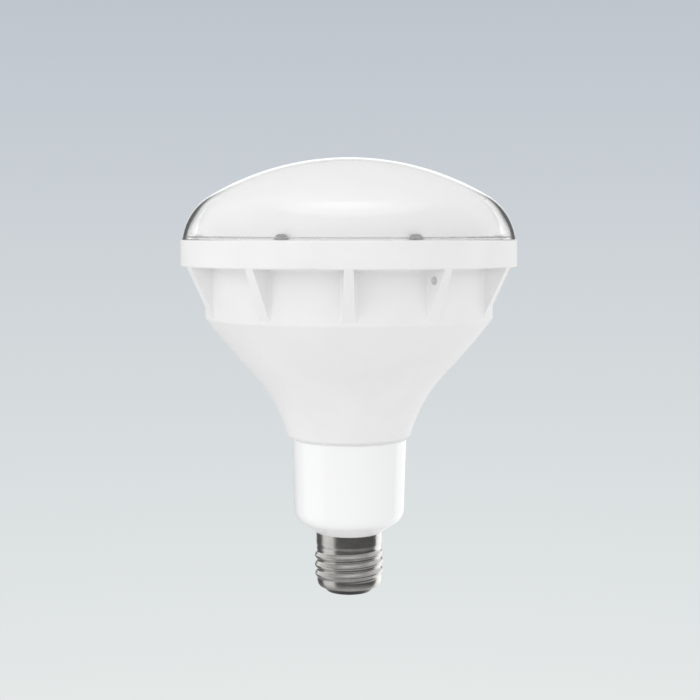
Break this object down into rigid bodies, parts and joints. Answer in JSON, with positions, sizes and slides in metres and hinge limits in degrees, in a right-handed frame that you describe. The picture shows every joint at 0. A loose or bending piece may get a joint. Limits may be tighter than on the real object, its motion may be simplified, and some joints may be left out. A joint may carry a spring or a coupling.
{
  "type": "reflector bulb",
  "caption": "LED reflector lamp: white finned die-cast bell, clear cover over a white diffuser dome, plastic neck collar and a nickel screw cap.",
  "frame": {"origin": "tip of the centre contact, on the lamp's axis", "axes": "+Z along the lamp's axis from the cap to the dome; the front fin points along -Y, +X to the right"},
  "size_m": [0.127, 0.127, 0.1672],
  "materials": {
    "white_casting": "satin",
    "clear_cover": "gloss",
    "white_diffuser": "satin",
    "white_collar": "gloss",
    "clip_steel": "satin",
    "dark_rubber": "matt",
    "bare_aluminium": "machined",
    "screw_steel": "zinc plated",
    "white_laminate": "matt",
    "phosphor": "matt",
    "white_nylon": "matt",
    "red_insulation": "satin",
    "black_insulation": "satin",
    "white_insulation": "satin",
    "housing_plastic": "matt",
    "green_laminate": "satin",
    "nickel_plate": "polished",
    "black_glass": "gloss",
    "contact_brass": "satin",
    "black_component": "matt",
    "brown_component": "gloss",
    "yellow_component": "gloss",
    "can_sleeve": "gloss",
    "ferrite": "matt",
    "winding_tape": "satin"
  },
  "bodies": {
    "root": {"heat_sink": "white_casting", "front_cover": "clear_cover", "diffuser": "white_diffuser", "cover_clips": "clip_steel", "cover_gasket": "dark_rubber", "led_plate": "bare_aluminium", "plate_screws": "screw_steel", "led_board": "white_laminate", "led_packages": "phosphor", "board_screws": "screw_steel", "board_connector": "white_nylon", "led_leads": "red_insulation", "neck_collar": "white_collar", "neck_seal": "dark_rubber", "driver_housing": "housing_plastic", "housing_lid": "housing_plastic", "screw_shell": "nickel_plate", "base_insulator": "black_glass", "centre_contact": "contact_brass", "centre_lead": "black_insulation", "shell_lead": "white_insulation", "driver_board": "green_laminate", "fuse_resistor": "brown_component", "film_capacitor": "yellow_component", "line_choke": "ferrite", "bulk_capacitor": "can_sleeve", "bridge_rectifier": "black_component", "transformer_core": "ferrite", "transformer_winding": "winding_tape", "power_transistor": "black_component", "output_capacitor": "can_sleeve", "driver_chip": "black_component"}
  },
  "joints": []
}
